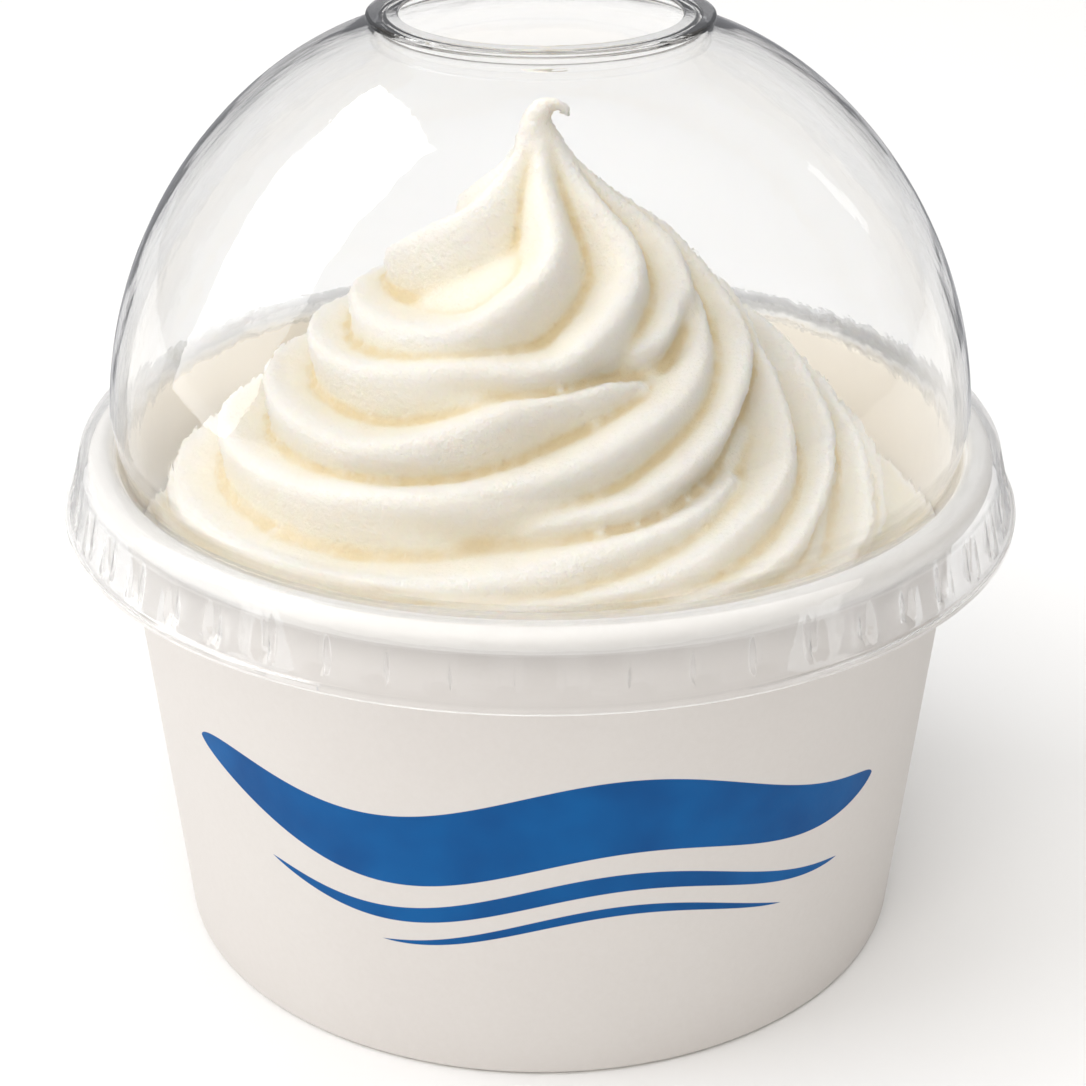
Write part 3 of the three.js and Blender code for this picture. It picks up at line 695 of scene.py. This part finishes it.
lid_outline = refine(lid_outline, 50, 54.4, 48.6, 0.55)
lid = link("clear_lid", lathe(lid_outline, LID_SEGS, True, rib_warp, LID_ANG))
print("lid tris", 2 * len(lid.data.polygons), "rings", len(lid_outline))
s = Shader("clear_sheet")
s.p.inputs["Base Color"].default_value = (0.985, 0.99, 0.995, 1)
s.p.inputs["Roughness"].default_value = 0.02
s.p.inputs["IOR"].default_value = 1.5
s.p.inputs["Transmission Weight"].default_value = 1.0
v = s.coords()
flow = s.noise(v, 0.06, 2.0, 0.5)
ripple = s.noise(v, 0.9, 3.0, 0.5)
n1 = s.bump(flow, 0.0006, 0.35)
n2 = s.bump(ripple, 0.00002, 0.3, n1)
s.link(n2, s.p.inputs["Normal"])
lp = s.t.nodes.new("ShaderNodeLightPath")
clear = s.t.nodes.new("ShaderNodeBsdfTransparent")
clear.inputs[0].default_value = (0.97, 0.975, 0.98, 1)
mx = s.t.nodes.new("ShaderNodeMixShader")
s.link(lp.outputs["Is Shadow Ray"], mx.inputs[0])
s.link(s.p.outputs[0], mx.inputs[1])
s.link(clear.outputs[0], mx.inputs[2])
sep = s.t.nodes.new("ShaderNodeSeparateXYZ")
s.link(v, sep.inputs[0])
# the rim's sheet is so thin that most light goes straight through it
straight = s.t.nodes.new("ShaderNodeBsdfTransparent")
straight.inputs[0].default_value = (0.985, 0.985, 0.985, 1)
thin = s.t.nodes.new("ShaderNodeMixShader")
low = s.math("MULTIPLY", s.math("SUBTRACT", 58.0, sep.outputs[2]), 1.0, clamp=True)
upper = s.math("MULTIPLY", s.math("SUBTRACT", sep.outputs[2], 54.2), 2.0, clamp=True)
s.link(s.math("MULTIPLY", low, s.math("MULTIPLY_ADD", upper, 0.32, 0.36)), thin.inputs[0])
s.link(mx.outputs[0], thin.inputs[1])
s.link(straight.outputs[0], thin.inputs[2])
# painted highlight: the lip's lower edge is mixed toward a white diffuse sheet, standing in for the bright line of
# light along it
cut = s.math("MULTIPLY", s.math("SUBTRACT", 48.74, sep.outputs[2]), 30.0, clamp=True)
lip_painted_highlight = s.t.nodes.new("ShaderNodeBsdfDiffuse")
lip_painted_highlight.inputs[0].default_value = (0.98, 0.97, 0.96, 1)
mx2 = s.t.nodes.new("ShaderNodeMixShader")
s.link(s.math("MULTIPLY", cut, 0.85), mx2.inputs[0])
s.link(thin.outputs[0], mx2.inputs[1])
s.link(lip_painted_highlight.outputs[0], mx2.inputs[2])
s.link(mx2.outputs[0], s.out.inputs["Surface"])
lid.data.materials.append(s.mat)
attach(lid, "root")
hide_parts("dome_lid")

# ============================================================ floor and light
me = bpy.data.meshes.new("floor")
me.from_pydata([(-3, -3, 0), (3, -3, 0), (3, 3, 0), (-3, 3, 0)], [], [(0, 1, 2, 3)])
floor = link("floor", me, False)
floor.location.z = -0.0002
s = Shader("white_floor")
s.p.inputs["Roughness"].default_value = 0.7
s.p.inputs["Specular IOR Level"].default_value = 0.1
v = s.coords(1.0)
s.link(s.ramp(s.noise(v, 0.8, 2.0), [(0.0, (0.835, 0.838, 0.842)), (1.0, (0.855, 0.858, 0.862))]), s.p.inputs["Base Color"])
floor.data.materials.append(s.mat)

world = bpy.data.worlds.new("studio")
scene.world = world
world.use_nodes = True
world.node_tree.nodes["Background"].inputs[0].default_value = (1.0, 0.95, 0.90, 1)
world.node_tree.nodes["Background"].inputs[1].default_value = 0.40


def lamp(name, loc, target, size, energy, color=(1, 1, 1), glossy=True):
    l = bpy.data.lights.new(name, "AREA")
    l.shape = "RECTANGLE"
    l.size, l.size_y = size
    l.energy = energy
    l.color = color
    o = bpy.data.objects.new(name, l)
    o.location = loc
    o.rotation_euler = (Vector(loc) - Vector(target)).to_track_quat("Z", "Y").to_euler()
    o.visible_glossy = glossy
    o.visible_transmission = glossy
    scene.collection.objects.link(o)
    return o


def softbox(name, left, right, dist, power, diffuse=True):
    """A glowing card round the object. left and right: the card's two long edges, as (azimuth, elevation) in degrees."""
    rows = 12
    le, re = [], []
    for line, out in ((left, le), (right, re)):
        pts = [Vector((math.sin(math.radians(a)) * math.cos(math.radians(e)), -math.cos(math.radians(a)) * math.cos(math.radians(e)),
                       math.sin(math.radians(e)))) for a, e in line]
        d = [0.0]
        for p, q in zip(pts, pts[1:]):
            d.append(d[-1] + (q - p).length)
        for i in range(rows):
            t = d[-1] * i / (rows - 1)
            k = max(j for j in range(len(pts) - 1) if d[j] <= t + 1e-9)
            f = (t - d[k]) / (d[k + 1] - d[k])
            out.append(pts[k].lerp(pts[k + 1], f))
    vs, fs = [], []
    cols = 7
    for p, q in zip(le, re):
        for j in range(cols):
            w = p.lerp(q, j / (cols - 1)).normalized() * dist
            w.z = max(w.z + 0.07, 0.004)
            vs.append(w)
    for i in range(rows - 1):
        for j in range(cols - 1):
            a = i * cols + j
            fs.append((a, a + 1, a + cols + 1, a + cols))
    m = bpy.data.meshes.new(name)
    m.from_pydata(vs, [], fs)
    o = link(name, m)
    g = bpy.data.materials.new(name)
    g.use_nodes = True
    g.node_tree.nodes.clear()
    em = g.node_tree.nodes.new("ShaderNodeEmission")
    em.inputs[0].default_value = (1.0, 0.995, 0.985, 1)
    em.inputs[1].default_value = power
    mo = g.node_tree.nodes.new("ShaderNodeOutputMaterial")
    g.node_tree.links.new(em.outputs[0], mo.inputs[0])
    m.materials.append(g)
    o.visible_camera = False
    o.visible_shadow = False
    o.visible_diffuse = diffuse
    o.visible_transmission = False
    return o


# a tall panel to the left that leans over the object, seen only in reflections
softbox("softbox_left", [(-108, -6), (-105, 8), (-108, 22), (-114, 31), (-121, 37), (-130, 41), (-149, 44)],
        [(-85, -6), (-78, 7), (-74, 24), (-77, 44), (-86, 60), (-104, 68)], 0.9, 4.2, False)
# a grey card close behind, seen only as a reflection, gives the dome and the lip their grey outlines
me = bpy.data.meshes.new("grey_card")
me.from_pydata([(-0.13, 0.075, 0.002), (0.13, 0.075, 0.002), (0.13, 0.075, 0.135), (-0.13, 0.075, 0.135)], [], [(0, 1, 2, 3)])
card = link("grey_card", me, False)
g = bpy.data.materials.new("grey_card")
g.use_nodes = True
g.node_tree.nodes.clear()
em = g.node_tree.nodes.new("ShaderNodeEmission")
em.inputs[0].default_value = (0.94, 0.95, 1.0, 1)
em.inputs[1].default_value = 0.42
mo = g.node_tree.nodes.new("ShaderNodeOutputMaterial")
g.node_tree.links.new(em.outputs[0], mo.inputs[0])
me.materials.append(g)
card.visible_camera = False
card.visible_shadow = False
card.visible_diffuse = False
card.visible_transmission = False
softbox("strip_right", [(124, 31), (120, 17)], [(121, 31), (117, 17)], 0.9, 1.6, False)
lamp("key", (-2.7, -0.2, 2.2), (0, 0, 0.05), (3.0, 2.2), 62.0, glossy=False)
lamp("top", (0.1, 0.1, 2.6), (0, 0, 0.05), (2.6, 2.6), 38.0, (0.97, 0.99, 1.0), glossy=False)
lamp("front", (-0.5, -1.9, 2.0), (0, 0, 0.05), (2.0, 1.4), 30.0, (1.0, 0.96, 0.91), glossy=False)

# ===================================================================== camera
cam = bpy.data.cameras.new("camera")
co = bpy.data.objects.new("camera", cam)
scene.collection.objects.link(co)
cam.sensor_width = 36
cam.lens = 2389 / 1086 * 36
cam.clip_start = 0.01
co.location = (0.00012, -0.240, 0.1569)
co.rotation_euler = (math.pi / 2 - 0.4483, -0.0016, 0)
scene.camera = co
scene.view_settings.view_transform = "Standard"

bpy.context.view_layer.update()
